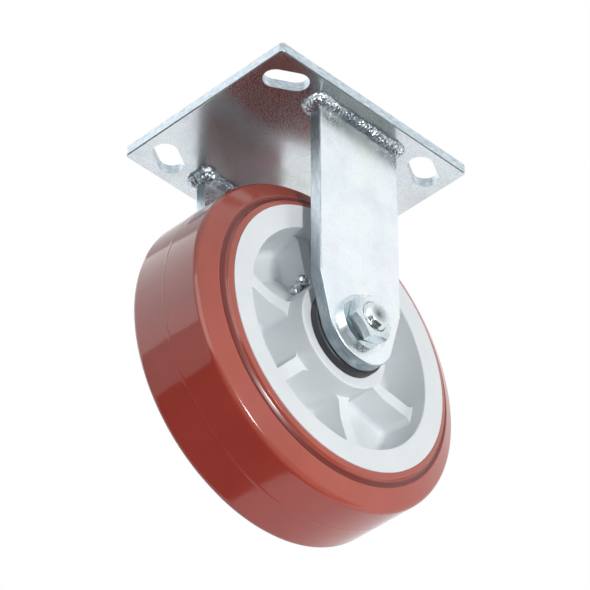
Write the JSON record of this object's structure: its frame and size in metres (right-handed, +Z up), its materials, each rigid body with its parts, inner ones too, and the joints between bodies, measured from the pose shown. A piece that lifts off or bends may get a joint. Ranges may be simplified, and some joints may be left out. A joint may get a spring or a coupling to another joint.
{
  "type": "fixed plate castor",
  "caption": "Rigid plate castor: flat slotted top plate, welded flat-bar legs and a wide cast polyurethane wheel on a roller bearing, for heavy trolleys.",
  "frame": {"origin": "centre of the top plate's upper face", "axes": "+Z up out of the mounting face, X along the rolling direction, Y along the axle with the nut at -Y"},
  "size_m": [0.1524, 0.0978, 0.1905],
  "materials": {
    "zinc_plate_steel": "bright zinc plate on hot-rolled steel, satin with fine speckle",
    "weld_metal": "zinc-plated rough weld bead",
    "zinc_hardware": "bright zinc-plated fasteners",
    "bearing_steel": "ground hardened steel",
    "cage_steel": "plain pressed steel",
    "black_plastic": "matt black moulded plastic",
    "core_plastic": "light grey moulded polyolefin, satin",
    "maroon_polyurethane": "glossy maroon cast polyurethane"
  },
  "bodies": {
    "fork": {"top_plate": "zinc_plate_steel", "leg_nut_side": "zinc_plate_steel", "leg_head_side": "zinc_plate_steel", "weld_nut_side": "weld_metal", "weld_head_side": "weld_metal", "axle_bolt": "zinc_hardware", "axle_nut": "zinc_hardware", "nut_washer": "zinc_hardware", "head_washer": "zinc_hardware", "inner_sleeve": "bearing_steel"},
    "wheel": {"wheel_core": "core_plastic", "tyre": "maroon_polyurethane", "thrust_washer_nut_side": "black_plastic", "thrust_washer_head_side": "black_plastic", "grease_nipple": "zinc_hardware", "nipple_ball": "bearing_steel", "nipple_spring": "bearing_steel"},
    "roller_cage": {"roller_cage": "cage_steel"},
    "roller_01": {"roller_01": "bearing_steel"},
    "roller_02": {"roller_02": "bearing_steel"},
    "roller_03": {"roller_03": "bearing_steel"},
    "roller_04": {"roller_04": "bearing_steel"},
    "roller_05": {"roller_05": "bearing_steel"},
    "roller_06": {"roller_06": "bearing_steel"},
    "roller_07": {"roller_07": "bearing_steel"},
    "roller_08": {"roller_08": "bearing_steel"},
    "roller_09": {"roller_09": "bearing_steel"},
    "roller_10": {"roller_10": "bearing_steel"}
  },
  "joints": [
    {"name": "wheel_spin", "type": "hinge", "parent": "fork", "child": "wheel", "pos_m": [0, 0, -0.1143], "axis": [0, 1, 0], "continuous": true},
    {"name": "cage_spin", "type": "hinge", "parent": "fork", "child": "roller_cage", "pos_m": [0, 0, -0.1143], "axis": [0, 1, 0], "continuous": true},
    {"name": "roller_01_spin", "type": "hinge", "parent": "roller_cage", "child": "roller_01", "pos_m": [0.0123, 0, -0.1143], "axis": [0, 1, 0], "continuous": true},
    {"name": "roller_02_spin", "type": "hinge", "parent": "roller_cage", "child": "roller_02", "pos_m": [0.00995, 0, -0.10707], "axis": [0, 1, 0], "continuous": true},
    {"name": "roller_03_spin", "type": "hinge", "parent": "roller_cage", "child": "roller_03", "pos_m": [0.0038, 0, -0.1026], "axis": [0, 1, 0], "continuous": true},
    {"name": "roller_04_spin", "type": "hinge", "parent": "roller_cage", "child": "roller_04", "pos_m": [-0.0038, 0, -0.1026], "axis": [0, 1, 0], "continuous": true},
    {"name": "roller_05_spin", "type": "hinge", "parent": "roller_cage", "child": "roller_05", "pos_m": [-0.00995, 0, -0.10707], "axis": [0, 1, 0], "continuous": true},
    {"name": "roller_06_spin", "type": "hinge", "parent": "roller_cage", "child": "roller_06", "pos_m": [-0.0123, 0, -0.1143], "axis": [0, 1, 0], "continuous": true},
    {"name": "roller_07_spin", "type": "hinge", "parent": "roller_cage", "child": "roller_07", "pos_m": [-0.00995, 0, -0.12153], "axis": [0, 1, 0], "continuous": true},
    {"name": "roller_08_spin", "type": "hinge", "parent": "roller_cage", "child": "roller_08", "pos_m": [-0.0038, 0, -0.126], "axis": [0, 1, 0], "continuous": true},
    {"name": "roller_09_spin", "type": "hinge", "parent": "roller_cage", "child": "roller_09", "pos_m": [0.0038, 0, -0.126], "axis": [0, 1, 0], "continuous": true},
    {"name": "roller_10_spin", "type": "hinge", "parent": "roller_cage", "child": "roller_10", "pos_m": [0.00995, 0, -0.12153], "axis": [0, 1, 0], "continuous": true}
  ],
  "couplings": [
    {"joint": "cage_spin", "follows": "wheel_spin", "ratio": 0.61301},
    {"joint": "roller_01_spin", "follows": "wheel_spin", "ratio": 2.1939},
    {"joint": "roller_02_spin", "follows": "wheel_spin", "ratio": 2.1939},
    {"joint": "roller_03_spin", "follows": "wheel_spin", "ratio": 2.1939},
    {"joint": "roller_04_spin", "follows": "wheel_spin", "ratio": 2.1939},
    {"joint": "roller_05_spin", "follows": "wheel_spin", "ratio": 2.1939},
    {"joint": "roller_06_spin", "follows": "wheel_spin", "ratio": 2.1939},
    {"joint": "roller_07_spin", "follows": "wheel_spin", "ratio": 2.1939},
    {"joint": "roller_08_spin", "follows": "wheel_spin", "ratio": 2.1939},
    {"joint": "roller_09_spin", "follows": "wheel_spin", "ratio": 2.1939},
    {"joint": "roller_10_spin", "follows": "wheel_spin", "ratio": 2.1939}
  ]
}
